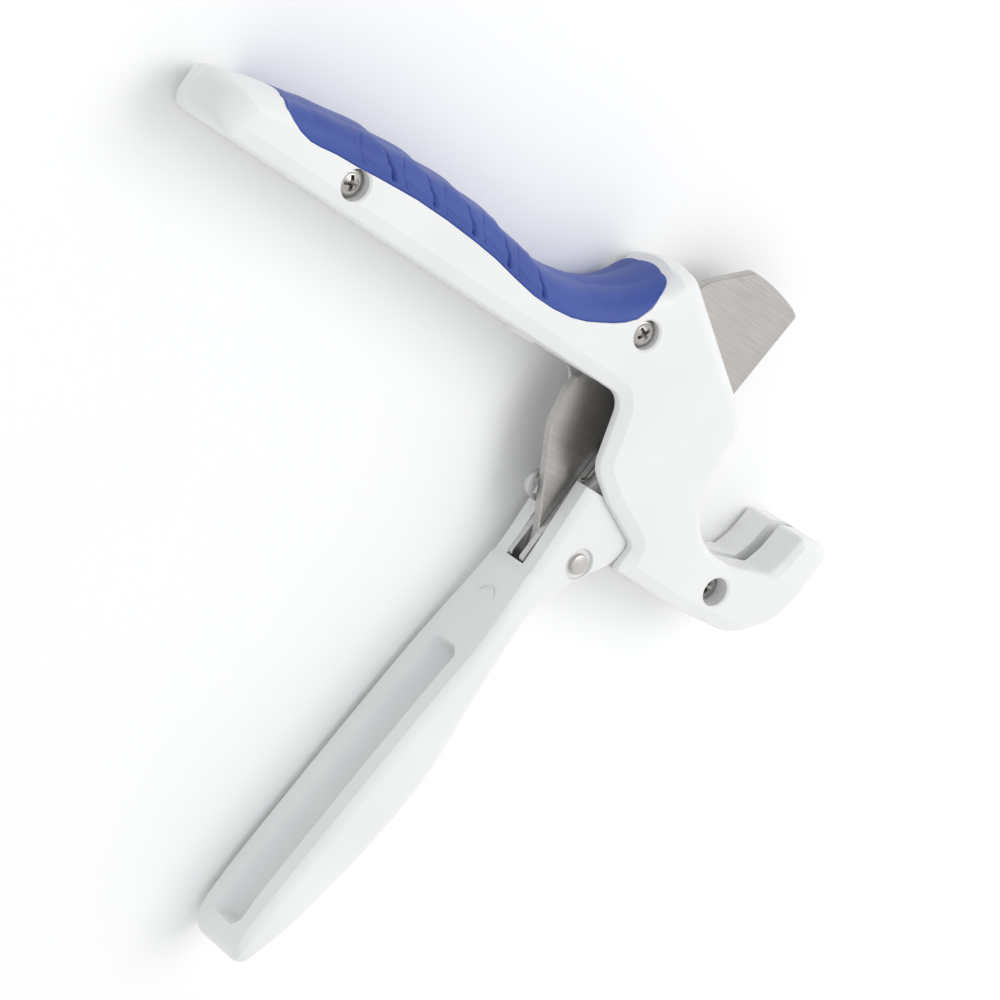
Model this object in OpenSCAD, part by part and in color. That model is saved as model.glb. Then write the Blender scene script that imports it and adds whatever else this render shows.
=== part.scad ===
// Single-stroke cutter for plastic pipe, shown open and lying on its back face.
// X runs along the upper handle towards the jaw, Y across it, Z through the thickness.
// The origin is on the back face, on the axis of the main pivot.

/* [Body] */
// Thickness of the closed body, both halves together
body_t = 21; // [20:0.5:23]
// Depth of the bevel round both faces
bevel_t = 1; // [0.6:0.1:1.4]
// Width of the bevel round both faces
bevel_w = 2; // [1:0.25:2.5]
// Radius that rounds the body handle's end across its thickness
nose_r = 8; // [5:0.5:9]
// Half-width of the pocket that takes the lever's ears
pocket_w = 7.8; // [7.7:0.1:8.2]
// Half-width of the gap that the blade swings in
blade_gap = 1.6; // [1.4:0.1:1.8]

/* [Blade] */
// Thickness of the blade
blade_t = 2.4; // [2:0.1:2.4]
// Distance from the pivot to the round end of the blade
blade_r = 50.2; // [49.6:0.1:50.4]
// Width of the ground bevel along the cutting edge
grind_w = 4; // [2:0.5:6]

/* [Lever] */
// Half-thickness of the lever's ears
ear_w = 7.6; // [7.2:0.1:7.6]
// Half-thickness of the lever's grip
grip_w = 9.4; // [8.6:0.2:9.8]
// Half-width of the slot between the ears
slot_w = 3; // [2.9:0.1:3.2]
// Half-width of the lower shoulders beside the slot
shoulder_w = 5.4; // [4.6:0.2:6]

/* [Pins] */
// Radius of the main pivot pin
pivot_r = 4; // [3.5:0.25:4.5]
// Radius of the pin that holds the blade in the lever
blade_pin_r = 2.3; // [2:0.1:2.5]
// Running clearance of the lever and blade on the pivot pin
running = 0.05; // [0.03:0.01:0.08]

/* [Screws] */
// Radius of the recess round each screw head
recess_r = 3.3; // [3.2:0.1:3.6]
// Radius of a screw head
head_r = 3.05; // [2.8:0.05:3.1]
// Height of a screw head
head_h = 1.9; // [1.6:0.1:2.1]
// Radius of a screw's shank
shank_r = 1.5; // [1.25:0.05:1.6]

/* [Spring] */
// Radius of the spring wire
wire_r = 0.55; // [0.5:0.05:0.75]
// Mean radius of the spring's coil
coil_r = 4.3; // [4.1:0.1:4.5]

/* [Hidden] */
$fn = 48;
half_t = body_t / 2;
face_t = half_t - bevel_t;
carrier_in = blade_t / 2 + 0.1;
carrier_out = slot_w - 0.2;
hub_w = ear_w - 0.6;
washer_out = pocket_w - 0.08;
blade_pin = [-6.7, -22.4];
spring_at = [-1, 15];
eye_at = [-20, -12.6];
stop_at = [-19.9, 33.7];
dowel_spots = [[-36, 15.8], [43, -12]];
edge_angle = 80.8;
edge_foot = [8.2, 0];
// Screw places, each with the height of its head's top above the mid-plane
handle_spot = [-113.9, 17.5, 8.9];
shoulder_spot = [-28.2, 25.4, 9.5];
hook_spot = [30, -12.1, 7.3];
screw_spots = [handle_spot, shoulder_spot, hook_spot];

// Outlines are corners [x, y, corner radius], taken anticlockwise
BODY = [
  [-151.8, 12, 4.5], [-23.4, 12, 5], [-18.8, -3.4, 7], [-10.5, -8.2, 12], [2.3, -13.2, 2.2],
  [1.4, -19.3, 1], [22, -19.7, 60], [42, -18.4, 14], [53, -9.5, 14], [55.4, 8.8, 2.5],
  [50, 9.5, 8], [44.9, 8.2, 1], [43.6, 1.6, 9], [41.6, -2.8, 1.5], [31, -5.5, 12],
  [11.6, -5.5, 15], [11, 14, 20], [10.4, 24, 8], [-23, 42.9, 8], [-28.8, 40.2, 1],
  [-33, 30, 4], [-46, 24.4, 12], [-57, 22.4, 20], [-95, 25, 60], [-139.4, 23.8, 8], [-151.2, 21.2, 4.5]
];
INLAY = [
  [-139.6, 24.4, 0.4], [-131.6, 18.5, 6], [-97, 23, 110], [-57, 17.4, 26], [-31, 25.6, 7],
  [-28.1, 39.2, 0.8], [-34.4, 33.2, 6], [-41, 29.4, 10], [-57, 24.8, 20], [-97, 29.6, 90]
];
LEVER = [
  [-16.4, -8, 2], [-17, -30, 30], [-22, -62, 60], [-31.8, -122, 20], [-32.4, -129, 3.4],
  [-25.4, -131, 3.4], [-20.8, -117, 16], [-10.4, -79, 50], [-12.6, -40, 12], [-7, -28.6, 14],
  [3, -18.8, 2], [8.9, -3, 3], [-5, -3, 1]
];
EAR_SHOULDER = [
  [-14.8, -10, 2], [-12, -2.6, 3], [-4, -2.6, 1], [0, -10, 1]
];
GROOVE = [
  [-40, -50.5, 1], [-18, -50.5, 2.5], [-18, -62, 40], [-27.6, -124, 2.5], [-40, -124, 1]
];
CARRIER = [
  [-13.6, 1.6, 3], [-17, -28.2, 1], [-2, -28.2, 5], [8.3, -5, 3], [0, 2, 1]
];
BLADE_CAVITY = [
  [-11, 62], [-13.4, 43], [-31.4, 8], [-31.4, -40], [9.6, -40], [9.6, -8.8], [62, -8.8], [62, 62]
];
EAR_POCKET = [
  [-60, 13.8], [-19, 13.8], [-15, 19], [-3.4, 19], [-3.4, 0], [10, 0], [4.4, -20], [4.4, -40], [-60, -40]
];

function unit(v) = v / norm(v);
function at(path, i) = path[(i + len(path)) % len(path)];
function spot(p) = [p[0], p[1]];

// Arc of radius r that rounds the corner at b between a and c, as a list of points
function corner(a, b, c, r) =
  let (
    u = unit(a - b),
    v = unit(c - b),
    half = acos(max(-1, min(1, u * v))) / 2,
    mid = b + unit(u + v) * r / sin(half),
    from = b + u * r / tan(half) - mid,
    to = b + v * r / tan(half) - mid,
    turn = from[0] * to[1] - from[1] * to[0] > 0 ? 1 : -1,
    start = atan2(from[1], from[0]),
    sweep = turn * (180 - 2 * half),
    steps = max(2, ceil(abs(sweep) / 7))
  )
  [for (k = [0 : steps]) mid + r * [cos(start + sweep * k / steps), sin(start + sweep * k / steps)]];

// A closed outline with its corners rounded
function rounded(path) =
  [for (i = [0 : len(path) - 1])
    each corner(spot(at(path, i - 1)), spot(path[i]), spot(at(path, i + 1)), path[i][2])];

// The same corners moved inwards by d
function shrunk(path, d) =
  [for (i = [0 : len(path) - 1])
    let (
      a = spot(at(path, i - 1)),
      b = spot(path[i]),
      c = spot(at(path, i + 1)),
      u = unit(b - a),
      v = unit(c - b),
      nu = [-u[1], u[0]],
      nv = [-v[1], v[0]],
      hollow = u[0] * v[1] - u[1] * v[0] < 0,
      shift = (nu + nv) * d / (1 + nu * nv)
    )
    [b[0] + shift[0], b[1] + shift[1], max(0.3, path[i][2] + (hollow ? d : -d))]];

// A flat layer between two heights measured from the mid-plane
module layer(low, high) {
  translate([0, 0, half_t + low])
    linear_extrude(high - low)
      children();
}

// A round bar on the mid-plane's own heights
module bar(place, r, low, high) {
  translate([place[0], place[1], half_t + low])
    cylinder(r = r, h = high - low);
}

// Side view of the body: its handle ends in a round nose
module body_side() {
  translate([0, 60, half_t])
    rotate([90, 0, 0])
      linear_extrude(90)
        polygon(rounded([[-151.8, -half_t, nose_r], [60, -half_t, 1], [60, half_t, 1],
          [-151.8, half_t, nose_r]]));
}
// Both halves' outer shape: a full layer, with an inset layer as the bevel's land
module body_blank(low, high, face_low, face_high) {
  intersection() {
    union() {
      layer(low, high)
        polygon(rounded(BODY));
      layer(face_low, face_high)
        polygon(rounded(shrunk(BODY, bevel_w)));
    }
    body_side();
  }
}

module blade_space() {
  intersection() {
    layer(-blade_gap, blade_gap)
      polygon(BLADE_CAVITY);
    bar([0, 0], blade_r + 0.8, -blade_gap, blade_gap);
  }
}

module ear_space() {
  intersection() {
    layer(-pocket_w, pocket_w)
      polygon(EAR_POCKET);
    bar([0, 0], 33, -pocket_w, pocket_w);
  }
  bar([0, 0], 10, -pocket_w, pocket_w);
  intersection() {
    bar([0, 0], 14.4, -3.1, 3.1);
    translate([-20, 0, 0])
      cube([21.6, 20, body_t]);
  }
}

// Hollows along the handle, with the screw boss left between them
module handle_space() {
  for (span = [[-141, -120], [-108, -56], [-44, -40]])
    translate([span[0], 14.4, half_t - pocket_w])
      cube([span[1] - span[0], 3.6, 2 * pocket_w]);
}

module bumper_space() {
  translate([-51.5, 11, half_t - 2.5])
    cube([5.3, 4, 5]);
}

// Everything that is cut from both halves alike
module common_space() {
  layer(-half_t - 1, half_t + 1)
    polygon(rounded(INLAY));
  blade_space();
  ear_space();
  handle_space();
  bumper_space();
  bar([0, 0], pivot_r, -face_t, face_t);
  bar(stop_at, 2, -6, 6);
  for (place = dowel_spots)
    bar(place, 1.5, -5, 5);
}

module body_back_half() {
  color("whitesmoke")
    difference() {
      body_blank(-face_t, 0, -half_t, -face_t);
      common_space();
      intersection() {
        bar([0, 0], 27.4, -3.1, 0);
        translate([-40, -40, 0])
          cube([40, 80, body_t]);
      }
      for (place = screw_spots)
        bar(place, shank_r, -8, 1);
    }
}

module body_front_half() {
  color("whitesmoke")
    difference() {
      body_blank(0, face_t, face_t, half_t);
      common_space();
      bar(spring_at, 5.8, 0, pocket_w);
      translate([spring_at[0] - coil_r - 1, spring_at[1], half_t])
        cube([2, 9.4, pocket_w]);
      bar(spring_at, 3, 0, 9.2);
      for (place = screw_spots) {
        bar(place, shank_r + 0.2, -1, place[2]);
        bar(place, recess_r, place[2] - head_h, half_t + 1);
      }
    }
}

module grip_inlay() {
  color("royalblue")
    layer(-half_t + 0.3, half_t - 0.3)
      polygon(rounded(INLAY));
}

// Thickness of the lever along its length: thin ears, then a thicker grip
module lever_side() {
  translate([-60, 0, half_t])
    rotate([90, 0, 90])
      linear_extrude(90)
        polygon([[20, -ear_w], [20, ear_w], [-27, ear_w], [-52, grip_w], [-118, grip_w],
          [-128, grip_w - 1.5], [-131, grip_w - 4], [-131, 4 - grip_w], [-128, 1.5 - grip_w],
          [-118, -grip_w], [-52, -grip_w], [-27, -ear_w]]);
}

module lever_handle() {
  color("whitesmoke")
    difference() {
      intersection() {
        union() {
          layer(-grip_w, grip_w)
            polygon(rounded(LEVER));
          bar([0, 0], 9, -ear_w, ear_w);
          layer(-shoulder_w, shoulder_w)
            polygon(rounded(EAR_SHOULDER));
        }
        lever_side();
      }
      layer(-4.4, 4.4)
        polygon(rounded(GROOVE));
      translate([-40, -28.5, half_t - slot_w])
        cube([60, 60, 2 * slot_w]);
      bar([0, 0], pivot_r + running, -ear_w - 1, ear_w + 1);
      bar([0, 0], 7, hub_w, ear_w + 1);
      bar([0, 0], 7, -ear_w - 1, -hub_w);
      bar(blade_pin, blade_pin_r, -ear_w - 1, ear_w + 1);
      bar(blade_pin, 3.5, ear_w - 0.8, ear_w + 1);
      bar(blade_pin, 3.5, -ear_w - 1, 0.8 - ear_w);
    }
}

// Outline of the blade: a round end about the pivot, a straight spine and edge, and a tail
module blade_outline() {
  end_arc = [for (a = [edge_angle - 9.3 : 2.5 : 93]) blade_r * [cos(a), sin(a)]];
  tail = [[-5.4, 49.2, 3], [-13, 42.2, 10], [-30.6, 8.6, 8], [-29, -0.6, 10], [-15.6, -21.6, 12],
    [-13.6, -27.6, 2], [-1.4, -27.6, 4], [8.4, -9, 6], [edge_foot[0] - 0.6, -3.6, 2]];
  inner = [for (i = [1 : len(tail) - 1])
    each corner(spot(tail[i - 1]), spot(tail[i]),
      i < len(tail) - 1 ? spot(tail[i + 1]) : end_arc[0], tail[i][2])];
  polygon(concat(end_arc, inner));
}

// The two ground flats that meet at the cutting edge
module edge_grind() {
  for (side = [-1, 1])
    translate([edge_foot[0], edge_foot[1], half_t])
      rotate([0, 0, edge_angle - 90])
        translate([0, 60, 0])
          rotate([90, 0, 0])
            linear_extrude(62)
              polygon([[-grind_w, side * blade_t / 2], [3, side * blade_t / 2 * 1.6],
                [3, 0.06 * side], [0, 0.06 * side]]);
}

module blade() {
  color("silver")
    difference() {
      layer(-blade_t / 2, blade_t / 2)
        blade_outline();
      edge_grind();
      bar([0, 0], pivot_r + running, -2, 2);
      bar(blade_pin, blade_pin_r, -2, 2);
    }
}

module carrier_plate(low, high, eye) {
  color("gainsboro")
    difference() {
      union() {
        layer(low, high)
          polygon(rounded(CARRIER));
        bar([0, 0], 9.8, low, high);
        if (eye) {
          bar(eye_at, 3.4, low, high);
          translate([eye_at[0], eye_at[1] - 3.4, half_t + low])
            cube([6.5, 6.8, high - low]);
        }
      }
      bar([0, 0], pivot_r + running, -4, 4);
      bar(blade_pin, blade_pin_r, -4, 4);
      if (eye)
        bar(eye_at, 1.8, -4, 4);
    }
}

module carrier_plate_back() {
  carrier_plate(-carrier_out, -carrier_in, true);
}

module carrier_plate_front() {
  carrier_plate(carrier_in, carrier_out, false);
}

module pivot_pin() {
  color("dimgray")
    bar([0, 0], pivot_r, -face_t, face_t);
}

module blade_pin() {
  color("lightgray") {
    difference() {
      bar(blade_pin, blade_pin_r, -ear_w - 0.1, ear_w + 0.3);
      difference() {
        bar(blade_pin, blade_pin_r + 1, 0.7 - ear_w, 1.2 - ear_w - 0.1);
        bar(blade_pin, blade_pin_r - 0.5, -ear_w, 2 - ear_w);
      }
    }
  }
}

// Split ring in the groove at the pin's back end
module blade_pin_ring() {
  color("dimgray")
    difference() {
      bar(blade_pin, 3.3, 0.1 - ear_w, 0.7 - ear_w);
      bar(blade_pin, blade_pin_r, -ear_w, 1 - ear_w);
      translate([blade_pin[0] - 0.9, blade_pin[1], half_t - ear_w])
        cube([1.8, 6, 1.4]);
    }
}

module washer(low, high) {
  color("goldenrod")
    difference() {
      bar([0, 0], 6.8, low, high);
      bar([0, 0], pivot_r + running + 0.02, low - 1, high + 1);
    }
}

module thrust_washer_back() {
  washer(-washer_out, -hub_w);
}

module thrust_washer_front() {
  washer(hub_w, washer_out);
}

// The spring's centre line: foot on the lever's ear, long leg, coil, then the leg held in the body
function spring_path() =
  let (
    low = carrier_out + 0.5 + wire_r,
    high = pocket_w - 0.1 - wire_r,
    start = 151,
    sweep = 691,
    steps = 48,
    coil = [for (k = [0 : steps])
      let (a = start - sweep * k / steps)
      [spring_at[0] + coil_r * cos(a), spring_at[1] + coil_r * sin(a), low + (high - low) * k / steps]]
  )
  concat(
    [[-15.9, -6.9, low], [-14.9, -6.4, low], [-14.2, -5.5, low], [-13.9, -2, low], [-13.4, -0.6, low]],
    coil,
    [[spring_at[0] - coil_r, spring_at[1] + 4, high], [spring_at[0] - coil_r, spring_at[1] + 8.4, high]]
  );

// Round wire along a path that stays nearly level
module wire(path, r, sides) {
  last = len(path) - 1;
  points = [for (i = [0 : last])
    let (
      run = unit(path[min(i + 1, last)] - path[max(i - 1, 0)]),
      across = unit(cross(run, [0, 0, 1])),
      up = cross(across, run)
    )
    for (k = [0 : sides - 1])
      path[i] + r * (cos(360 * k / sides) * across + sin(360 * k / sides) * up)];
  skin = [for (i = [0 : last - 1], k = [0 : sides - 1])
    let (n = (k + 1) % sides)
    [i * sides + k, i * sides + n, (i + 1) * sides + n, (i + 1) * sides + k]];
  start_cap = [[for (k = [0 : sides - 1]) sides - 1 - k]];
  end_cap = [[for (k = [0 : sides - 1]) last * sides + k]];
  polyhedron(points, concat(skin, start_cap, end_cap));
}

module return_spring() {
  color("silver")
    translate([0, 0, half_t])
      wire(spring_path(), wire_r, 8);
}

module spring_post() {
  color("dimgray")
    bar(spring_at, 3, 3.3, 9.2);
}

module opening_stop_pin() {
  color("dimgray")
    bar(stop_at, 2, -6, 6);
}

module closing_bumper() {
  color("white")
    translate([-51.5, 11.3, half_t - 2.5])
      cube([5.3, 3.7, 5]);
}

module handle_dowel() {
  color("dimgray")
    bar(dowel_spots[0], 1.5, -4.8, 4.8);
}

module hook_dowel() {
  color("dimgray")
    bar(dowel_spots[1], 1.5, -4.8, 4.8);
}

// Pan-head screw with a cross recess, its head's top at place[2]
module screw(place) {
  top = place[2];
  color("silver")
    difference() {
      union() {
        bar(place, head_r, top - head_h, top - 0.5);
        bar(place, head_r - 0.5, top - 0.5, top);
        bar(place, shank_r, -7.8, top - head_h);
      }
      for (turn = [0, 90])
        translate([place[0], place[1], half_t + top])
          rotate([0, 0, turn + 20])
            cube([3.6, 0.8, 2.2], center = true);
    }
}

module handle_screw() {
  screw(handle_spot);
}

module shoulder_screw() {
  screw(shoulder_spot);
}

module hook_screw() {
  screw(hook_spot);
}

body_back_half();
body_front_half();
grip_inlay();
lever_handle();
blade();
carrier_plate_back();
carrier_plate_front();
pivot_pin();
blade_pin();
blade_pin_ring();
thrust_washer_back();
thrust_washer_front();
return_spring();
spring_post();
opening_stop_pin();
closing_bumper();
handle_dowel();
hook_dowel();
handle_screw();
shoulder_screw();
hook_screw();
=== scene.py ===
import math

import bmesh
import bpy
from mathutils import Matrix, Vector


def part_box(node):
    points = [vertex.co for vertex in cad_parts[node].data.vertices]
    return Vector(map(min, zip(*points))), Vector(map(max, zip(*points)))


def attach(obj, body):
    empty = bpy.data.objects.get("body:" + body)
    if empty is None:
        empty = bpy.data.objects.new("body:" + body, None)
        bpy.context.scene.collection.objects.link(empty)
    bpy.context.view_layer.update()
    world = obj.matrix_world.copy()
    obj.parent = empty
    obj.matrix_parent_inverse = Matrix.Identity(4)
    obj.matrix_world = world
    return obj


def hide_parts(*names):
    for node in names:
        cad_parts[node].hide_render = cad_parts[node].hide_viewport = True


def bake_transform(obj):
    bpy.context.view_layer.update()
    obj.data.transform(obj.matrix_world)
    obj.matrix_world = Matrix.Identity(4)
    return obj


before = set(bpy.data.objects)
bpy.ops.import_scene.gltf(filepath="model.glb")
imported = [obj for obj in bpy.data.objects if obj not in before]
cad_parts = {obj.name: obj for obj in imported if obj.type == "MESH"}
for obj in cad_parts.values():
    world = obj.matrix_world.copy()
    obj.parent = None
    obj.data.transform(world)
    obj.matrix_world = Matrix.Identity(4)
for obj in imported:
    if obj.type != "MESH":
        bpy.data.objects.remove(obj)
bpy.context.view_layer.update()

# Everything below is written in millimetres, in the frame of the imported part, and scaled by MM at the end.
MM = 0.001
HALF_T = 10.5


def node_box(name):
    """A node's lowest and highest corners in millimetres."""
    low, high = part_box(name)
    return Vector(low) / MM, Vector(high) / MM


def node_centre(name):
    low, high = node_box(name)
    return (low + high) / 2


# ---------------------------------------------------------------- outlines

# Corners (x, y, corner radius, rim), anticlockwise. The rim says how the side from this corner to the next
# turns into the face: "b" is a flat bevel, "r" a plain round, "c" a wide crown, "n" the round nose.
BODY = [
    (-151.8, 12, 4.5, "b"), (-23.4, 12, 5, "b"), (-18.8, -3.4, 7, "b"), (-10.5, -8.2, 12, "b"),
    (2.3, -13.2, 2.2, "b"), (1.4, -19.3, 1, "b"), (22, -19.7, 60, "b"), (42, -18.4, 14, "b"),
    (53, -9.5, 14, "r"), (55.4, 8.8, 2.5, "r"), (50, 9.5, 8, "s"), (44.9, 8.2, 1, "s"),
    (43.6, 1.6, 9, "s"), (41.6, -2.8, 1.5, "s"), (31, -5.5, 12, "s"), (11.6, -5.5, 15, "s"),
    (11, 14, 20, "r"), (10.4, 24, 8, "c"), (-23, 42.9, 6, "c"), (-28, 40.6, 2.5, "c"),
    (-30.5, 36, 4, "c"), (-40, 30, 10, "c"), (-57, 25.6, 20, "c"), (-84, 28.8, 40, "c"),
    (-109, 28.2, 40, "c"), (-139.4, 24.1, 12, "c"), (-151.2, 21.2, 4.5, "n"),
]
# For each rim: how far it reaches in from the side, and how far it drops from the face
RIMS = {"b": (3.0, 1.1), "s": (1.6, 0.9), "r": (2.6, 2.6), "c": (5.2, 5.2), "n": (11.0, 9.0)}
# The crowned top rises a little further towards the middle of the thickness
DOME = 0.7
LEVELS = (0, 0.04, 0.12, 0.25, 0.42, 0.65, 0.9, 1.2, 1.6, 2.1, 2.7, 3.4, 4.2, 5.2, 6.4, 8.0, 9.3, 10.5)


def unit(v):
    return v / v.length


def arc(a, b, c, radius, step=6, steps=None):
    """Points of the arc that rounds the corner at b between a and c."""
    u, v = unit(a - b), unit(c - b)
    half = math.acos(max(-1, min(1, u.dot(v)))) / 2
    steps = steps or max(2, math.ceil((180 - 2 * math.degrees(half)) / step))
    if half > math.pi / 2 - 1e-4:
        return [b.copy() for _ in range(steps + 1)]
    mid = b + unit(u + v) * radius / math.sin(half)
    start = b + u * radius / math.tan(half) - mid
    end = b + v * radius / math.tan(half) - mid
    turn = 1 if start.x * end.y - start.y * end.x > 0 else -1
    sweep = turn * (math.pi - 2 * half)
    first = math.atan2(start.y, start.x)
    angles = [first + sweep * k / steps for k in range(steps + 1)]
    return [mid + radius * Vector((math.cos(t), math.sin(t))) for t in angles]


def corner_steps(path, step=6):
    """How many steps each corner's arc takes, so that shrunk copies of the outline match it."""
    counts = []
    for i in range(len(path)):
        a, b, c = (Vector(path[(i + k) % len(path)][:2]) for k in (-1, 0, 1))
        turn = 180 - math.degrees((a - b).angle(c - b))
        counts.append(max(2, math.ceil(turn / step)))
    return counts


def inset(path, depths):
    """The outline with each side moved inwards by its own depth."""
    out = []
    for i, corner in enumerate(path):
        a, b, c = (Vector(path[(i + k) % len(path)][:2]) for k in (-1, 0, 1))
        u, v = unit(b - a), unit(c - b)
        nu, nv = Vector((-u.y, u.x)), Vector((-v.y, v.x))
        before, after = depths[i - 1], depths[i]
        det = nu.x * nv.y - nu.y * nv.x
        if abs(det) < 0.2:
            shift = (nu + nv) * (before + after) / 2 / (1 + nu.dot(nv))
        else:
            shift = Vector(((before * nv.y - after * nu.y) / det, (after * nu.x - before * nv.x) / det))
        depth = (before + after) / 2
        hollow = u.x * v.y - u.y * v.x < 0
        radius = max(0.25, corner[2] + (depth if hollow else -depth))
        out.append((b.x + shift.x, b.y + shift.y, radius))
    return out


def rounded(path, step=6):
    """A closed outline with its corners rounded."""
    points = []
    for i, corner in enumerate(path):
        a, b, c = (Vector(path[(i + k) % len(path)][:2]) for k in (-1, 0, 1))
        points += arc(a, b, c, corner[2], step)
    return points


# ---------------------------------------------------------------- meshes


def make_object(name, verts, faces):
    """A mesh object from points in millimetres."""
    mesh = bpy.data.meshes.new(name)
    mesh.from_pydata([Vector(v) * MM for v in verts], [], faces)
    bm = bmesh.new()
    bm.from_mesh(mesh)
    bmesh.ops.remove_doubles(bm, verts=bm.verts, dist=1e-7)
    bmesh.ops.recalc_face_normals(bm, faces=bm.faces)
    bm.to_mesh(mesh)
    bm.free()
    obj = bpy.data.objects.new(name, mesh)
    bpy.context.scene.collection.objects.link(obj)
    return obj


def stack(name, rings, closed_ends=True):
    """A skin through rings of equal length, closed at both ends."""
    count = len(rings[0])
    verts = [p for ring in rings for p in ring]
    faces = []
    for i in range(len(rings) - 1):
        for k in range(count):
            n = (k + 1) % count
            faces.append((i * count + k, i * count + n, (i + 1) * count + n, (i + 1) * count + k))
    if closed_ends:
        faces.append(tuple(reversed(range(count))))
        faces.append(tuple(range((len(rings) - 1) * count, len(rings) * count)))
    return make_object(name, verts, faces)


def prism(name, points, low, high):
    """A straight extrusion between two heights from the mid-plane."""
    rings = [[(p[0], p[1], HALF_T + w) for p in points] for w in (low, high)]
    return stack(name, rings)


def lathe(name, place, profile, sides=64):
    """A solid of revolution about a Z axis; profile is (radius, height from the mid-plane)."""
    rings = []
    for radius, w in profile:
        ring = []
        for k in range(sides):
            t = 2 * math.pi * k / sides
            ring.append((place[0] + radius * math.cos(t), place[1] + radius * math.sin(t), HALF_T + w))
        rings.append(ring)
    return stack(name, rings)


def use(obj, kind, **settings):
    """Adds one modifier and applies it."""
    modifier = obj.modifiers.new(kind.lower(), kind)
    for key, value in settings.items():
        setattr(modifier, key, value)
    graph = bpy.context.evaluated_depsgraph_get()
    mesh = bpy.data.meshes.new_from_object(obj.evaluated_get(graph))
    obj.modifiers.clear()
    old = obj.data
    obj.data = mesh
    bpy.data.meshes.remove(old)


def cut(obj, tool, operation="DIFFERENCE"):
    use(obj, "BOOLEAN", object=tool, operation=operation, solver="EXACT")
    bpy.data.objects.remove(tool)


def soften(obj, width, angle=40, segments=2):
    """Breaks the sharp edges that cuts leave."""
    use(
        obj, "BEVEL", width=width * MM, segments=segments, limit_method="ANGLE",
        angle_limit=math.radians(angle), use_clamp_overlap=True, miter_outer="MITER_ARC",
    )


def shade(obj, angle=38, weighted=False):
    """Smooth shading up to an angle, weighted by face size where large flat faces meet small rounds."""
    obj.data.shade_smooth()
    obj.data.set_sharp_from_angle(angle=math.radians(angle))
    if weighted:
        use(obj, "WEIGHTED_NORMAL", keep_sharp=True, weight=100, mode="FACE_AREA")


# ---------------------------------------------------------------- materials


class Look:
    """A node material built line by line."""

    def __init__(self, name):
        self.material = bpy.data.materials.new(name)
        self.material.use_nodes = True
        self.nodes = self.material.node_tree.nodes
        self.links = self.material.node_tree.links
        self.shader = self.nodes["Principled BSDF"]
        self.place = self.add("ShaderNodeTexCoord").outputs["Object"]

    def add(self, kind, **settings):
        node = self.nodes.new(kind)
        for key, value in settings.items():
            setattr(node, key, value)
        return node

    def set(self, **values):
        for key, value in values.items():
            self.shader.inputs[key.replace("_", " ")].default_value = value

    def mapping(self, scale, rotation=(0, 0, 0)):
        node = self.add("ShaderNodeMapping")
        node.inputs["Scale"].default_value = scale
        node.inputs["Rotation"].default_value = rotation
        self.links.new(self.place, node.inputs["Vector"])
        return node.outputs["Vector"]

    def noise(self, scale, detail=3, vector=None, roughness=0.5):
        node = self.add("ShaderNodeTexNoise")
        node.inputs["Scale"].default_value = scale
        node.inputs["Detail"].default_value = detail
        node.inputs["Roughness"].default_value = roughness
        self.links.new(vector or self.place, node.inputs["Vector"])
        return node.outputs["Fac"]

    def ramp(self, fac, stops):
        node = self.add("ShaderNodeValToRGB")
        ramp = node.color_ramp
        while len(ramp.elements) < len(stops):
            ramp.elements.new(0.5)
        for element, (position, colour) in zip(ramp.elements, stops):
            element.position = position
            element.color = (*colour, 1) if len(colour) == 3 else colour
        self.links.new(fac, node.inputs["Fac"])
        return node.outputs["Color"]

    def range(self, fac, low, high):
        node = self.add("ShaderNodeMapRange")
        node.inputs["To Min"].default_value = low
        node.inputs["To Max"].default_value = high
        self.links.new(fac, node.inputs["Value"])
        return node.outputs["Result"]

    def plug(self, output, socket):
        self.links.new(output, self.shader.inputs[socket])

    def bump(self, *layers):
        """Each layer is (height, distance in mm, strength)."""
        normal = None
        for height, distance, strength in layers:
            node = self.add("ShaderNodeBump")
            node.inputs["Distance"].default_value = distance * MM
            node.inputs["Strength"].default_value = strength
            self.links.new(height, node.inputs["Height"])
            if normal is not None:
                self.links.new(normal, node.inputs["Normal"])
            normal = node.outputs["Normal"]
        self.links.new(normal, self.shader.inputs["Normal"])


def powder_coat():
    """White satin powder coat with a fine orange peel and faint unevenness of tone."""
    look = Look("white_powder_coat")
    tone = look.noise(38, detail=2)
    look.plug(look.ramp(tone, [(0.3, (0.80, 0.81, 0.805)), (0.7, (0.85, 0.855, 0.85))]), "Base Color")
    look.plug(look.range(look.noise(420, detail=2), 0.34, 0.46), "Roughness")
    look.bump((look.noise(1500, detail=2), 0.05, 0.22), (look.noise(5200, detail=1), 0.02, 0.25))
    look.set(Coat_Weight=0.12, Coat_Roughness=0.3)
    return look.material


def soft_grip():
    """Blue moulded elastomer: fine stipple, a slightly paler worn bloom."""
    look = Look("blue_soft_grip")
    tone = look.noise(60, detail=4)
    look.plug(look.ramp(tone, [(0.25, (0.028, 0.062, 0.30)), (0.75, (0.040, 0.085, 0.37))]), "Base Color")
    look.plug(look.range(look.noise(700, detail=3), 0.42, 0.6), "Roughness")
    look.bump((look.noise(3800, detail=2), 0.06, 0.35))
    look.set(Sheen_Weight=0.08, Sheen_Roughness=0.4)
    return look.material


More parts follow.
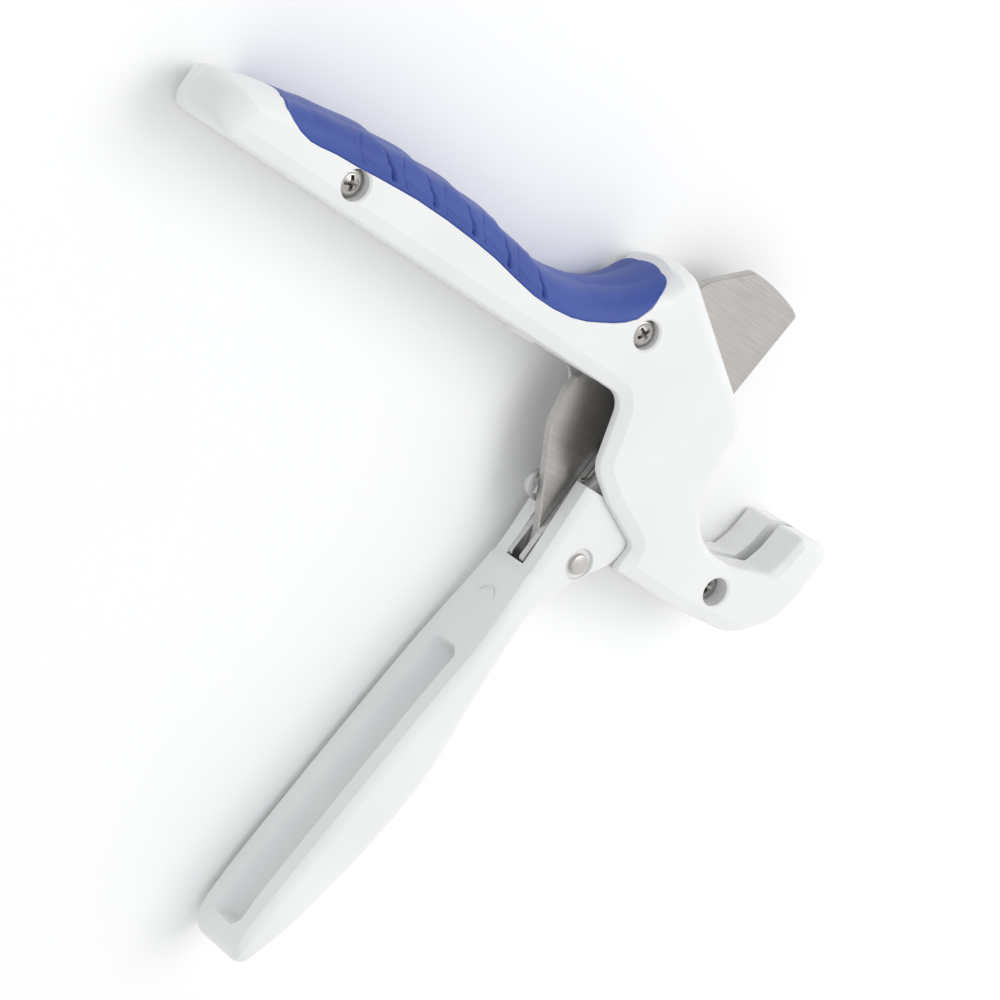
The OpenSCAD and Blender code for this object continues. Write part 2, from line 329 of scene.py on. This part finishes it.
def ground_steel(name, colours, roughness, grain, angle, strength=0.3):
    """Steel with grinding lines in one direction in the XY plane."""
    look = Look(name)
    along = look.mapping((1, grain, 1), (0, 0, math.radians(angle)))
    lines = look.noise(90, detail=6, vector=along, roughness=0.65)
    blotch = look.noise(55, detail=2)
    look.plug(look.ramp(lines, [(0.3, colours[0]), (0.7, colours[1])]), "Base Color")
    mixed = look.add("ShaderNodeMath", operation="ADD")
    look.links.new(look.range(lines, roughness[0], roughness[1]), mixed.inputs[0])
    look.links.new(look.range(blotch, -0.04, 0.05), mixed.inputs[1])
    look.plug(mixed.outputs["Value"], "Roughness")
    look.bump((lines, 0.02, strength))
    look.set(Metallic=1.0)
    return look.material


def turned_metal(name, colours, roughness):
    """Plain machined or plated metal with light unevenness."""
    look = Look(name)
    tone = look.noise(300, detail=4)
    look.plug(look.ramp(tone, [(0.3, colours[0]), (0.7, colours[1])]), "Base Color")
    look.plug(look.range(look.noise(900, detail=3), *roughness), "Roughness")
    look.bump((look.noise(2200, detail=3), 0.012, 0.3))
    look.set(Metallic=1.0)
    return look.material


def white_plastic():
    look = Look("white_moulded_plastic")
    tone = look.noise(200, detail=2)
    look.plug(look.ramp(tone, [(0.3, (0.80, 0.80, 0.79)), (0.7, (0.86, 0.86, 0.85))]), "Base Color")
    look.plug(look.range(look.noise(1500, detail=2), 0.4, 0.55), "Roughness")
    look.bump((look.noise(3000, detail=2), 0.02, 0.3))
    return look.material


COAT = powder_coat()
GRIP = soft_grip()
BLADE = ground_steel("ground_blade_steel", ((0.44, 0.42, 0.40), (0.56, 0.54, 0.52)), (0.28, 0.42), 26, -81)
PLATE = ground_steel("carrier_plate_steel", ((0.52, 0.52, 0.52), (0.64, 0.64, 0.64)), (0.26, 0.4), 14, 8)
DARK = turned_metal("oiled_dark_steel", ((0.10, 0.10, 0.105), (0.16, 0.16, 0.165)), (0.3, 0.45))
NICKEL = turned_metal("nickel_plate", ((0.36, 0.34, 0.32), (0.52, 0.50, 0.48)), (0.16, 0.3))
PIN = turned_metal("bright_pin_steel", ((0.52, 0.50, 0.48), (0.62, 0.60, 0.58)), (0.3, 0.42))
BRONZE = turned_metal("washer_bronze", ((0.50, 0.34, 0.16), (0.60, 0.42, 0.2)), (0.3, 0.45))
PLASTIC = white_plastic()


def dress(obj, material):
    obj.data.materials.clear()
    obj.data.materials.append(material)


def finish_piece(obj, material, body, slot, *nodes):
    """Gives a piece its material and the body it rides, and hides the CAD nodes it stands for. The slot
    argument is not used.
    """
    dress(obj, material)
    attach(obj, body)
    if nodes:
        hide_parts(*nodes)
    return obj


# ---------------------------------------------------------------- body halves

BLADE_CAVITY = [
    (-11, 62), (-13.4, 43), (-31.4, 8), (-31.4, -40), (9.6, -40), (9.6, -8.8), (62, -8.8), (62, 62),
]
EAR_POCKET = [
    (-60, 13.8), (-19, 13.8), (-15, 19), (-3.4, 19), (-3.4, 0), (10, 0), (4.4, -20), (4.4, -40), (-60, -40),
]
SCREWS = ("handle_screw", "shoulder_screw", "hook_screw")


def rim_depth(kind, drop):
    """How far in from the side wall a rim is, at this drop below the face."""
    reach, depth = RIMS[kind]
    if kind in "bs":
        # the slope, with a short round where it meets the side wall
        if drop < depth:
            return reach * (1 - drop / depth) * 0.88 + 0.36
        return 0.36 * max(0, 1 - (drop - depth) / 0.8) ** 2
    share = max(0.0, 1 - drop / depth)
    curve = reach * (1 - math.sqrt(1 - share * share))
    if kind == "r":
        return curve
    rest = min(1.0, (HALF_T - drop) / (HALF_T - depth))
    return DOME * rest * rest + curve * (1 - DOME / reach)


def body_blank(name, side):
    """One half without its hollows: side is 1 for the front and -1 for the back."""
    rings = []
    counts = corner_steps(BODY)
    for drop in reversed(LEVELS):
        shape = inset(BODY, [rim_depth(corner[3], drop) for corner in BODY])
        ring = []
        for i, corner in enumerate(shape):
            a, b, c = (Vector(shape[(i + j) % len(shape)][:2]) for j in (-1, 0, 1))
            for p in arc(a, b, c, corner[2], steps=counts[i]):
                ring.append((p.x, p.y, HALF_T + side * (HALF_T - drop)))
        rings.append(ring)
    if side < 0:
        rings.reverse()
    return stack(name, rings)


def circle(place, radius, sides=72):
    angles = [2 * math.pi * k / sides for k in range(sides)]
    return [(place[0] + radius * math.cos(t), place[1] + radius * math.sin(t)) for t in angles]


def body_half(side):
    name = "casting_front" if side > 0 else "casting_back"
    half = body_blank(name, side)
    seat = prism("seat", SEAM + [(-27.4, 41), (-31, 48), (-135.6, 48)], -12, 12)
    cut(half, seat)
    slot = prism("slot", BLADE_CAVITY, -1.6, 1.6)
    cut(slot, prism("disc", circle((0, 0), 51), -3, 3), "INTERSECT")
    cut(half, slot)
    pocket = prism("pocket", EAR_POCKET, -7.8, 7.8)
    cut(pocket, prism("disc", circle((0, 0), 33), -9, 9), "INTERSECT")
    cut(half, pocket)
    cut(half, prism("hub", circle((0, 0), 10), -7.8, 7.8))
    room = prism("plate_room", circle((0, 0), 14.4), -3.1, 3.1)
    cut(room, prism("box", [(-20, 0), (1.6, 0), (1.6, 20), (-20, 20)], -4, 4), "INTERSECT")
    cut(half, room)
    low, high = node_box("closing_bumper")
    cut(half, prism("notch", [(low.x, 10), (high.x, 10), (high.x, high.y), (low.x, high.y)], -2.5, 2.5))
    if side > 0:
        for name in SCREWS:
            low, high = node_box(name)
            centre = node_centre(name)
            mouth = HALF_T - 0.35
            top = high.z - HALF_T
            profile = [
                (1.7, -1), (1.7, top - 1.9), (3.3, top - 1.9), (3.3, mouth), (3.75, HALF_T), (3.75, 12),
            ]
            cut(half, lathe("recess", centre, profile, 72))
        cut(half, prism("spring_room", circle((-1, 15), 5.8), 0, 7.8))
    else:
        cut(half, prism("tab_room", circle((0, 0), 27.4), -3.1, 0.5))
    return half


# ---------------------------------------------------------------- grip inlay

# The seam between grip and castings on the front, from the tip to the horn,
# and the crest above each seam point
EDGES = [
    (-135.6, 24.5, -135.6, 24.55), (-136.5, 23.9, -135.8, 24.58), (-136.8, 23, -135.6, 24.62),
    (-136.2, 22.1, -135.4, 24.7), (-134.6, 21.1, -134.9, 24.85), (-132, 20.1, -133.2, 25.15),
    (-128.8, 19.6, -130.6, 25.6),
    (-126.2, 19.75, -128, 26.2), (-121.9, 20.3, -122.8, 26.9), (-116, 20.6, -116, 27.6),
    (-110.4, 21.1, -110.4, 28), (-104.3, 21.5, -104.3, 28.3), (-99.4, 21.8, -99.4, 28.4),
    (-90, 21.8, -90, 28.5), (-80.8, 21.4, -80.8, 28.2), (-74.3, 20.9, -74.3, 27.6),
    (-67.4, 19.9, -67.2, 26.5), (-60.5, 19.1, -60.2, 25.8), (-54.3, 19.1, -54.6, 26),
    (-48.7, 19.7, -49.6, 26.8), (-44.6, 20.8, -46, 27.6), (-41.2, 22.2, -43, 28.6),
    (-38, 23.6, -40.2, 29.7), (-35.3, 25.1, -37.6, 31), (-32.9, 27.1, -34.8, 32.8),
    (-31, 30.4, -31.9, 35.2), (-29.8, 34.1, -30, 37.2), (-28.9, 36.9, -28.7, 38.6),
    (-28.2, 38.7, -28.1, 39.1), (-27.9, 39.25, -27.9, 39.3),
]
SEAM = [(row[0], row[1]) for row in EDGES]


def spline(points, t):
    """A smooth curve through the points, t from 0 to 1."""
    span = t * (len(points) - 1)
    i = min(int(span), len(points) - 2)
    f = span - i
    p = [Vector(points[max(0, min(len(points) - 1, i + k))]) for k in (-1, 0, 1, 2)]
    return 0.5 * (
        2 * p[1] + (p[2] - p[0]) * f + (2 * p[0] - 5 * p[1] + 4 * p[2] - p[3]) * f * f
        + (3 * p[1] - p[0] - 3 * p[2] + p[3]) * f ** 3
    )


def smoothstep(low, high, x):
    t = max(0.0, min(1.0, (x - low) / (high - low)))
    return t * t * (3 - 2 * t)


RIB_PITCH = 12.2
RIB_FIRST = -113.6
RIBS = 5


def rib_height(x, down):
    """Relief of the finger ribs: x along the handle, down is the distance below the crest."""
    height = 0.0
    for rib in range(RIBS):
        foot = RIB_FIRST + rib * RIB_PITCH
        # the groove runs forwards as it goes down, stepping sideways twice
        line = foot + 0.9 * down + 0.75 * smoothstep(1.5, 2.1, down) + 0.7 * smoothstep(3.6, 4.1, down)
        fade = 1 - smoothstep(5.6, 6.3, down)
        offset = x - line
        width = 0.28 + 0.10 * min(down, 5)
        if offset < 0:
            width *= 0.55
        height -= 0.95 * math.exp(-(offset / width) ** 2) * fade
        # the pad swells towards the groove and starts lower behind it
        behind = line - x
        if 0 < behind < RIB_PITCH:
            height += 0.42 * fade * smoothstep(RIB_PITCH * 0.8, 0.5, behind)
        # a shallow hooked line outlines the pad
        hook = foot - 4.4 + 0.5 * (down - 2.2) ** 2 * (1 if down < 2.2 else 0.45)
        height -= 0.3 * math.exp(-((x - hook) / 0.26) ** 2) * fade * smoothstep(0.9, 1.6, down)
        # and a short line closes the hook below
        close = 4.9 + 0.12 * (x - hook)
        span = smoothstep(hook, hook + 0.5, x) * (1 - smoothstep(line - 1.6, line - 0.8, x))
        height -= 0.22 * math.exp(-((down - close) / 0.24) ** 2) * span
    return height


def crown_radius(x):
    return 5.2 + 2.2 * smoothstep(-60, -44, x) - 1.2 * smoothstep(-36, -29, x)


def grip_inlay():
    """Sections that run from the front seam over the crest to the back seam, with the ribs pressed in."""
    stations, wall, crown, flat = 620, 26, 26, 5
    rings = []
    for s in range(stations + 1):
        t = s / stations
        row = spline(EDGES, t)
        low, top = Vector(row[:2]), Vector(row[2:])
        rise = top - low
        height = max(rise.length, 0.02)
        up = unit(rise) if rise.length > 0.02 else Vector((0, 1))
        radius = crown_radius(low.x)
        side = HALF_T - 0.06
        span = side - radius
        # where the section starts: on the flat wall, on the crown, or near the crest
        share = max(0.0, min(1.0, 1 - (height - DOME) / (radius - DOME)))
        first = math.asin(share)
        if height < DOME:
            edge_w = span * math.sqrt(min(1.0, height / DOME))
        else:
            edge_w = side - radius * (1 - math.cos(first))
        section = []
        for k in range(wall):
            rest = max(0.0, height - radius)
            section.append((low + up * rest * k / wall, edge_w, first))
        for k in range(crown + 1):
            a = first + (math.pi / 2 - first) * k / crown
            fall = DOME + (radius - DOME) * (1 - math.sin(a))
            section.append((top - up * min(height, fall), min(edge_w, side - radius * (1 - math.cos(a))), a))
        inner_w = min(edge_w, span)
        for k in range(1, flat + 1):
            w = inner_w * (1 - k / flat)
            section.append((top - up * DOME * (w / span) ** 2, w, math.pi / 2))
        ring = []
        back = list(reversed(section[:-1]))
        for sign, part in ((1, section), (-1, back)):
            for k, (point, w, a) in enumerate(part):
                over = (top - point).length
                down = over + max(0.0, radius - over) * (1 - math.sin(a)) * 0.25
                edge = smoothstep(0, 0.9, (point - low).length)
                relief = rib_height(point.x, down) * edge
                relief -= 0.22 * (1 - smoothstep(0, 0.45, (point - low).length))
                if relief > 0:
                    relief *= 0.12 + 0.88 * math.sin(a)
                lift = Vector((up.x * math.sin(a), up.y * math.sin(a), sign * math.cos(a))) * relief
                depth = max(0.0, min(2 * HALF_T, HALF_T + sign * w + lift.z))
                ring.append((point.x + lift.x, point.y + lift.y, depth))
        rings.append(ring)
    inlay = stack("soft_grip_inlay", rings)
    shade(inlay, 70)
    return inlay


# ---------------------------------------------------------------- lever

# The lever's inner and outer edges as (y, x), from the ears down to the end
LEVER_INNER = [
    (-7.6, -16.4), (-30, -17), (-46, -19.2), (-62, -22.2), (-92, -27.3), (-122, -31.8), (-127, -31.6),
]
LEVER_OUTER = [
    (-7.6, 7.4), (-15, 5), (-19, 2.4), (-24, -2.2), (-30, -6.9), (-37, -10.7), (-45, -12.1), (-60, -11.8),
    (-76, -11.4), (-91, -13.8), (-105, -17.3), (-117, -21.2), (-124, -24.4), (-127, -26.2),
]
END_Y = -130.2
GROOVE_TOP, GROOVE_END = -50.6, -124.2


def along(table, y):
    """Smooth interpolation in a table of (y, x) with falling y."""
    ys = [row[0] for row in table]
    if y >= ys[0]:
        return table[0][1]
    if y <= ys[-1]:
        return table[-1][1]
    i = max(k for k in range(len(ys)) if ys[k] >= y)
    i = min(i, len(ys) - 2)
    f = (ys[i] - y) / (ys[i] - ys[i + 1])

    def slope(j):
        a, b = max(0, j - 1), min(len(ys) - 1, j + 1)
        return (table[b][1] - table[a][1]) / (ys[b] - ys[a])

    step = ys[i + 1] - ys[i]
    h00, h10 = 2 * f ** 3 - 3 * f ** 2 + 1, f ** 3 - 2 * f ** 2 + f
    h01, h11 = -2 * f ** 3 + 3 * f ** 2, f ** 3 - f ** 2
    return h00 * table[i][1] + h10 * step * slope(i) + h01 * table[i + 1][1] + h11 * step * slope(i + 1)


def lever_half_thickness(y):
    return 7.6 + 1.8 * smoothstep(-24, -54, y) - 0.5 * smoothstep(-112, -131, y)


def groove_depth(y, w):
    """The scooped hollow: a steep near wall and a gentle far one."""
    ends = smoothstep(GROOVE_TOP, GROOVE_TOP - 1.3, y) * smoothstep(GROOVE_END, GROOVE_END + 1.3, y)
    if ends <= 0:
        return 0.0
    near = 4.5 - 1.6 * (1 - smoothstep(GROOVE_TOP, GROOVE_TOP - 3.0, y)) ** 2
    near -= 1.6 * (1 - smoothstep(GROOVE_END, GROOVE_END + 3.0, y)) ** 2
    far = -4.9
    if w >= near or w <= far:
        return 0.0
    share = (w - far) / (near - far)
    scoop = math.sin(min(1.0, share * 1.18) * math.pi / 2) ** 1.3
    wall = smoothstep(near, near - 0.55, w)
    return 5.6 * scoop * wall * ends


def lever_section(y):
    """One closed section as (x, w) points."""
    inner, outer, h = along(LEVER_INNER, y), along(LEVER_OUTER, y), lever_half_thickness(y)
    tuck = 0.0
    if y < -126:
        t = min(1.0, (-126 - y) / (-126 - END_Y))
        tuck = 1 - math.sqrt(max(0.0, 1 - t * t))
    inner, outer = inner + 3.0 * tuck, outer - 2.2 * tuck
    h -= 3.2 * tuck
    round_r = min(2.8, (outer - inner) * 0.3)
    strip = min(2.4, (outer - inner) * 0.3)
    half = []
    inner += 0.45 * smoothstep(-29.9, -29.2, y)
    flat = h - 1.05
    for k in range(25):
        w = flat * k / 24
        half.append((inner, w))
    for k in range(1, 6):
        t = k / 5
        half.append((inner + strip * t ** 1.2, flat + 1.05 * (1 - (1 - t) ** 1.3)))
    for k in range(1, 6):
        half.append((inner + strip + (outer - inner - strip - round_r) * k / 5, h))
    for k in range(1, 9):
        a = math.pi / 2 * k / 8
        half.append((outer - round_r * (1 - math.sin(a)), h - round_r * (1 - math.cos(a))))
    for k in range(1, 5):
        w = (h - round_r) * (1 - k / 5)
        half.append((outer + 0.25 * (1 - (w / h) ** 2), w))
    near = [(x, w) for x, w in half]
    far = [(x, -w) for x, w in reversed(half[1:])]
    section = near + [(outer + 0.25, 0.0)] + far
    out = []
    for x, w in section:
        if x <= inner + 0.01:
            x += groove_depth(y, w)
        out.append((x, w))
    return out


def lever():
    ys = [-7.6 - 0.9 * k for k in range(47)]
    ys += [-49.9 - 0.32 * k for k in range(12)]
    ys += [-54.2 - 1.4 * k for k in range(48)]
    ys += [-120.8 - 0.32 * k for k in range(16)]
    ys += [-126 + (END_Y + 126) * math.sin(math.pi / 2 * k / 9) for k in range(1, 10)]
    ys = sorted(set(round(y, 3) for y in ys), reverse=True)
    rings = [[(x, y, HALF_T + w) for x, w in lever_section(y)] for y in ys]
    arm = stack("lever_casting", rings)
    cut(arm, prism("hub", circle((0, 0), 9), -7.6, 7.6), "UNION")
    shoulder = prism("shoulder", rounded(EAR_SHOULDER), -5.4, 5.4)
    soften(shoulder, 0.6)
    cut(arm, shoulder, "UNION")
    room = [(-30, -28.5, 0.1), (-14, -28.5, 0.1), (12, -28.5, 0.1), (12, 20, 0.1), (-30, 20, 0.1)]
    cut(arm, prism("slot", [(p[0], p[1]) for p in room], -3, 3))
    pin = node_centre("blade_pin")
    cut(arm, lathe("counterbore", pin, [(3.5, 6.8), (3.5, 7.35), (3.75, 7.61), (3.75, 9)], 64))
    cut(arm, lathe("counterbore_back", pin, [(3.75, -9), (3.75, -7.61), (3.5, -7.35), (3.5, -6.8)], 64))
    cut(arm, prism("bore", circle(pin, 2.3, 48), -9, 9))
    cut(arm, prism("pivot", circle((0, 0), 4.05, 48), -9, 9))
    shade(arm, 34, weighted=True)
    return arm


EAR_SHOULDER = [(-14.8, -10, 2), (-12, -2.6, 3), (-4, -2.6, 1), (0, -10, 1)]


def ejector_ring():
    """The faint round mark of an ejector pin on the lever's inner face."""
    y = -38.8
    x = along(LEVER_INNER, y)
    rings = []
    for k in range(48):
        t = 2 * math.pi * k / 48
        ring = []
        for j in range(8):
            a = 2 * math.pi * j / 8
            reach = 2.6 + 0.16 * math.cos(a)
            ring.append((
                x + 0.06 - 0.13 * math.sin(a), y + reach * math.cos(t), HALF_T + reach * math.sin(t),
            ))
        rings.append(ring)
    verts = [p for ring in rings for p in ring]
    faces = []
    for i in range(48):
        for j in range(8):
            n, m = (i + 1) % 48, (j + 1) % 8
            faces.append((i * 8 + j, i * 8 + m, n * 8 + m, n * 8 + j))
    mark = make_object("ejector_mark", verts, faces)
    shade(mark, 60)
    return mark


# ---------------------------------------------------------------- small parts


def screw(node, turn):
    """Pan-head screw with a tapered cross recess."""
    low, high = node_box(node)
    centre = node_centre(node)
    top = high.z - HALF_T
    head = [(1.5, low.z - HALF_T), (1.5, top - 1.9), (2.9, top - 1.9), (3.05, top - 1.7), (3.05, top - 1.1)]
    for k in range(1, 9):
        a = math.pi / 2 * k / 8
        head.append((3.05 - 1.25 * (1 - math.cos(a)), top - 1.1 + 1.1 * math.sin(a) * (1 - 0.04 * k)))
    head.append((0.9, top))
    piece = lathe(node + "_pan_head", centre, head, 56)
    for k in range(2):
        t = math.radians(turn + 90 * k)
        u, v = Vector((math.cos(t), math.sin(t), 0)), Vector((-math.sin(t), math.cos(t), 0))
        mid = Vector((centre.x, centre.y, 0))
        rings = []
        for reach, width, w in ((0.5, 0.2, top - 1.5), (1.9, 0.44, top + 0.05), (2.0, 0.48, top + 1)):
            ring = [mid + u * reach * a + v * width * b for a, b in ((-1, -1), (1, -1), (1, 1), (-1, 1))]
            rings.append([(p.x, p.y, HALF_T + w) for p in ring])
        cut(piece, stack("cross", rings))
    shade(piece, 32)
    return piece


def rounded_pin(node, chamfer):
    """A plain pin with its ends chamfered."""
    low, high = node_box(node)
    centre = node_centre(node)
    radius = (high.x - low.x) / 2
    a, b = low.z - HALF_T, high.z - HALF_T
    profile = [(radius - chamfer, a), (radius - chamfer * 0.3, a + chamfer * 0.3), (radius, a + chamfer),
               (radius, b - chamfer), (radius - chamfer * 0.3, b - chamfer * 0.3), (radius - chamfer, b)]
    piece = lathe(node + "_turned", centre, profile, 56)
    shade(piece, 30)
    return piece


def bumper():
    low, high = node_box("closing_bumper")
    size = high - low
    corners = [(low.x, low.y, 1.2), (high.x, low.y, 1.2), (high.x, high.y, 0.3), (low.x, high.y, 0.3)]
    piece = prism("closing_bumper_moulded", rounded(corners, 15), -size.z / 2, size.z / 2)
    soften(piece, 0.4)
    shade(piece, 40)
    return piece


BLADE_TAIL = [
    (-5.4, 49.2, 3), (-13, 42.2, 10), (-30.6, 8.6, 8), (-29, -0.6, 10), (-15.6, -21.6, 12), (-13.6, -27.6, 2),
    (-1.4, -27.6, 4), (8.4, -9, 6), (7.6, -3.6, 2),
]
BLADE_R = 50.15
EDGE_ANGLE = 80.8


def blade():
    """Blade with a round end, broken edges and two ground flats that meet at the cutting edge."""
    angles = [math.radians(EDGE_ANGLE - 9.3 + 21.5 * k / 24) for k in range(25)]
    outline = [Vector((BLADE_R * math.cos(t), BLADE_R * math.sin(t))) for t in angles]
    for i in range(1, len(BLADE_TAIL)):
        a, b = Vector(BLADE_TAIL[i - 1][:2]), Vector(BLADE_TAIL[i][:2])
        c = Vector(BLADE_TAIL[i + 1][:2]) if i + 1 < len(BLADE_TAIL) else outline[0]
        outline += arc(a, b, c, BLADE_TAIL[i][2], step=2.5)
    piece = prism("ground_blade", outline, -1.2, 1.2)
    soften(piece, 0.28, 50, segments=1)
    t = math.radians(EDGE_ANGLE)
    run, out = Vector((math.cos(t), math.sin(t))), Vector((math.sin(t), -math.cos(t)))
    foot = Vector((8.2, 0))
    for side in (-1, 1):
        wedge = [(-4, side * 1.2), (3, side * 1.95), (3, side * 0.05), (0, side * 0.05)]
        rings = []
        for reach in (-3, 62):
            rings.append([
                (*(foot + run * reach + out * u), HALF_T + w) for u, w in wedge
            ])
        cut(piece, stack("wedge", rings))
    cut(piece, prism("bore", circle((0, 0), 4.05, 48), -3, 3))
    cut(piece, prism("pin_bore", circle(node_centre("blade_pin"), 2.32, 40), -3, 3))
    shade(piece, 30, weighted=True)
    return piece


def eye_plate():
    """The back carrier plate with its thin-walled eye."""
    low, high = node_box("carrier_plate_back")
    bottom, top = low.z - HALF_T, high.z - HALF_T
    plate = prism("carrier_back", rounded(CARRIER), bottom, top)
    cut(plate, prism("boss", circle((0, 0), 9.8), bottom, top), "UNION")
    cut(plate, prism("eye", circle(EYE_AT, 3.4), bottom, top), "UNION")
    neck = [
        (EYE_AT[0], EYE_AT[1] - 3.4), (-13.5, EYE_AT[1] - 3.4),
        (-13.5, EYE_AT[1] + 3.4), (EYE_AT[0], EYE_AT[1] + 3.4),
    ]
    cut(plate, prism("neck", neck, bottom, top), "UNION")
    cut(plate, prism("eye_hole", circle(EYE_AT, 2.3), -4, 4))
    cut(plate, prism("bore", circle((0, 0), 4.05, 48), -4, 4))
    cut(plate, prism("pin_bore", circle(node_centre("blade_pin"), 2.32, 40), -4, 4))
    soften(plate, 0.18, 50)
    shade(plate, 34, weighted=True)
    return plate


CARRIER = [(-13.6, 1.6, 3), (-17, -28.2, 1), (-2, -28.2, 5), (8.3, -5, 3), (0, 2, 1)]
EYE_AT = (-20, -12.6)
SPRING_AT = (-1, 15)
COIL_R = 4.3
WIRE_R = 0.55


def spring():
    """Torsion spring: foot on the ear, long leg, two turns and the leg held in the body."""
    low, high = node_box("return_spring")
    floor, roof = low.z + WIRE_R, high.z - WIRE_R
    path = [(-16.3, -7.2, floor), (-15.5, -7.0, floor), (-14.8, -6.5, floor), (-14.3, -5.6, floor),
            (-14.0, -4, floor), (-13.8, -2, floor), (-13.3, -0.6, floor)]
    path += [(-13.3 + 8.5 * k / 10, -0.6 + 17.6 * k / 10, floor) for k in range(1, 10)]
    turns = 96
    for k in range(turns + 1):
        a = math.radians(151 - 691 * k / turns)
        path.append((SPRING_AT[0] + COIL_R * math.cos(a), SPRING_AT[1] + COIL_R * math.sin(a),
                     floor + (roof - floor) * k / turns))
    path += [(SPRING_AT[0] - COIL_R, SPRING_AT[1] + d, roof) for d in (2, 4, 6, 8.2)]
    points = [Vector(p) for p in path]
    rings = []
    for i, point in enumerate(points):
        run = unit(points[min(i + 1, len(points) - 1)] - points[max(i - 1, 0)])
        across = unit(run.cross(Vector((0, 0, 1))))
        up = across.cross(run)
        ring = []
        for k in range(14):
            t = 2 * math.pi * k / 14
            ring.append(tuple(point + WIRE_R * (math.cos(t) * across + math.sin(t) * up)))
        rings.append(ring)
    piece = stack("return_spring_wire", rings)
    shade(piece, 50)
    return piece


# ---------------------------------------------------------------- the model

front = body_half(1)
back = body_half(-1)
for half in (front, back):
    shade(half, 30, weighted=True)
finish_piece(front, COAT, "body", "white_coat", "body_front_half")
finish_piece(back, COAT, "body", "white_coat", "body_back_half")
finish_piece(grip_inlay(), GRIP, "body", "blue_grip", "grip_inlay")
finish_piece(lever(), COAT, "lever", "white_coat", "lever_handle")
finish_piece(ejector_ring(), COAT, "lever", "white_coat")
for name, turn in (("handle_screw", 24), ("shoulder_screw", 62), ("hook_screw", 10)):
    finish_piece(screw(name, turn), NICKEL, "body", "screw_nickel", name)
finish_piece(rounded_pin("blade_pin", 0.35), PIN, "lever", "pin_steel", "blade_pin")
finish_piece(bumper(), PLASTIC, "body", "bumper_plastic", "closing_bumper")

finish_piece(blade(), BLADE, "lever", "blade_steel", "blade")
finish_piece(eye_plate(), PLATE, "lever", "plate_steel", "carrier_plate_back")

wire = spring()
dress(wire, NICKEL)
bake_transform(wire)
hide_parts("return_spring")

CAD_LOOKS = {
    "carrier_plate_front": PLATE, "pivot_pin": DARK,
    "blade_pin_ring": DARK, "thrust_washer_back": BRONZE, "thrust_washer_front": BRONZE,
    "spring_post": DARK, "opening_stop_pin": DARK, "handle_dowel": DARK, "hook_dowel": DARK,
}
for name, material in CAD_LOOKS.items():
    dress(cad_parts[name], material)

# ---------------------------------------------------------------- floor, light and camera


def floor():
    mesh = bpy.data.meshes.new("floor")
    reach = 6.0
    corners = [(-reach, -reach, 0), (reach, -reach, 0), (reach, reach, 0), (-reach, reach, 0)]
    mesh.from_pydata(corners, [], [(0, 1, 2, 3)])
    obj = bpy.data.objects.new("floor", mesh)
    bpy.context.scene.collection.objects.link(obj)
    look = Look("pale_floor")
    tone = look.ramp(look.noise(6, detail=2), [(0.3, (0.945, 0.945, 0.945)), (0.7, (0.965, 0.965, 0.965))])
    look.plug(tone, "Base Color")
    look.set(Roughness=0.7)
    dress(obj, look.material)


def area_light(name, place, target, size, power, colour=(1, 1, 1)):
    light = bpy.data.lights.new(name, "AREA")
    light.shape = "DISK"
    light.size = size
    light.energy = power
    light.color = colour
    obj = bpy.data.objects.new(name, light)
    obj.location = place
    obj.rotation_euler = (Vector(target) - Vector(place)).to_track_quat("-Z", "Y").to_euler()
    bpy.context.scene.collection.objects.link(obj)


def world_light(strength):
    """An even pale room with a darker side, so that bright metal has something to show."""
    world = bpy.data.worlds.new("studio")
    world.use_nodes = True
    nodes, links = world.node_tree.nodes, world.node_tree.links
    background = nodes["Background"]
    place = nodes.new("ShaderNodeTexCoord")
    split = nodes.new("ShaderNodeSeparateXYZ")
    ramp = nodes.new("ShaderNodeValToRGB")
    spread = nodes.new("ShaderNodeMapRange")
    spread.inputs["From Min"].default_value = -1.0
    links.new(place.outputs["Generated"], split.inputs["Vector"])
    links.new(split.outputs["X"], spread.inputs["Value"])
    links.new(spread.outputs["Result"], ramp.inputs["Fac"])
    links.new(ramp.outputs["Color"], background.inputs["Color"])
    for element, (position, grey) in zip(ramp.color_ramp.elements, ((0.0, 0.55), (0.9, 1.0))):
        element.position = position
        tint = 1 - grey
        element.color = (grey * (1 - 0.06 * tint), grey, grey * (1 + 0.06 * tint), 1)
    background.inputs["Strength"].default_value = strength
    bpy.context.scene.world = world


def camera():
    """A long lens above the handle's end, turned so that the handle runs down to the right."""
    view = bpy.data.cameras.new("camera")
    view.lens = 136.9
    view.sensor_width = 36
    view.clip_start = 0.05
    obj = bpy.data.objects.new("camera", view)
    look = Vector((0.6778, -0.0158, -0.7351)).normalized()
    right = Vector((0.6271, 0.5346, 0.5666))
    right = (right - look * right.dot(look)).normalized()
    up = right.cross(look)
    turn = Matrix((right, up, -look)).transposed()
    obj.matrix_world = Matrix.Translation((-0.5669, -0.0071, 0.5940)) @ turn.to_4x4()
    bpy.context.scene.collection.objects.link(obj)
    bpy.context.scene.camera = obj


floor()
world_light(1.0)
area_light("key", (0.35, 0.75, 1.4), (0, 0, 0), 1.2, 8)
area_light("fill", (-0.9, -0.8, 1.0), (0, 0, 0), 1.4, 1.5, (0.97, 0.985, 1))
camera()
bpy.context.scene.view_settings.view_transform = "Standard"
